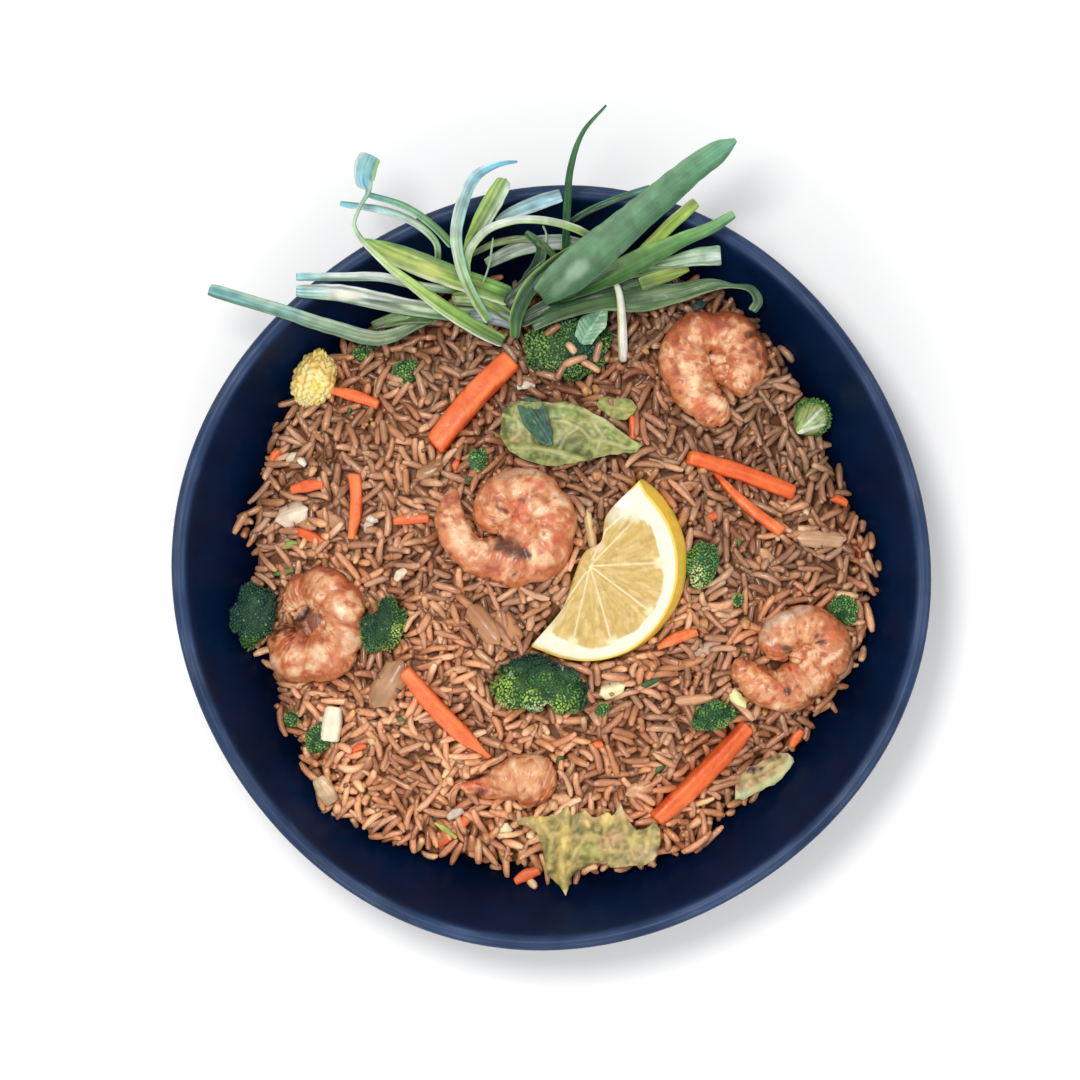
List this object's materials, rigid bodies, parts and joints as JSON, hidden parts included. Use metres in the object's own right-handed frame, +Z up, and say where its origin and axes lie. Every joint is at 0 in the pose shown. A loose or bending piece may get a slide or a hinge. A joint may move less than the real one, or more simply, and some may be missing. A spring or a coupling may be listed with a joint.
{
  "type": "fried rice in a bowl",
  "caption": "Heap of fried rice with curled prawns, half a lemon slice, carrot strips, broccoli and lettuce in a round glazed bowl, topped with spring-onion strips that hang over the rim.",
  "frame": {"origin": "centre of the bowl's flat foot, in the plane it stands on", "axes": "+Z up out of the bowl; +Y towards the side of the rim where the spring-onion strips hang over; +X to the right when looking down with +Y away"},
  "size_m": [0.2403, 0.2652, 0.0944],
  "materials": {
    "bowl_glaze": "gloss",
    "fried_rice": "satin",
    "prawn": "satin",
    "lemon": "satin",
    "carrot": "satin",
    "broccoli": "matte",
    "baby_corn": "satin",
    "lettuce": "satin",
    "onion": "satin",
    "spring_onion": "satin"
  },
  "bodies": {
    "root": {"baby_corn": "baby_corn", "bowl": "bowl_glaze", "broccoli_east": "broccoli", "broccoli_east_inner": "broccoli", "broccoli_flap": "spring_onion", "broccoli_middle": "broccoli", "broccoli_north": "broccoli", "broccoli_north_east": "broccoli", "broccoli_south_east": "broccoli", "broccoli_south_west": "broccoli", "broccoli_west": "broccoli", "broccoli_west_inner": "broccoli", "cabbage_stalk": "lettuce", "carrot_east_thick": "carrot", "carrot_east_thin": "carrot", "carrot_north": "carrot", "carrot_small_middle": "carrot", "carrot_small_north_west": "carrot", "carrot_small_west": "carrot", "carrot_south_east": "carrot", "carrot_south_west": "carrot", "lemon_slice": "lemon", "lettuce_leaf": "lettuce", "lettuce_small": "lettuce", "lettuce_south": "lettuce", "onion_east": "onion", "onion_leaf_broad": "spring_onion", "onion_leaf_channel": "spring_onion", "onion_leaf_crescent": "spring_onion", "onion_leaf_curl": "spring_onion", "onion_leaf_double": "spring_onion", "onion_leaf_east": "spring_onion", "onion_leaf_lime": "spring_onion", "onion_leaf_mint": "spring_onion", "onion_leaf_under": "spring_onion", "onion_middle": "onion", "onion_north_west": "onion", "onion_south_pale": "onion", "onion_south_west": "onion", "onion_stem_north": "spring_onion", "onion_strip_arch": "spring_onion", "onion_strip_behind": "spring_onion", "onion_strip_blue": "spring_onion", "onion_strip_crook": "spring_onion", "onion_strip_folded": "spring_onion", "onion_strip_left_high": "spring_onion", "onion_strip_left_low": "spring_onion", "onion_strip_pale_lower": "spring_onion", "onion_strip_pale_upper": "spring_onion", "onion_strip_west": "spring_onion", "onion_strip_white": "spring_onion", "onion_stub_lime": "spring_onion", "onion_white_block": "onion", "prawn_centre": "prawn", "prawn_east": "prawn", "prawn_north_east": "prawn", "prawn_south": "prawn", "prawn_west": "prawn", "rice_heap": "fried_rice"}
  },
  "joints": []
}
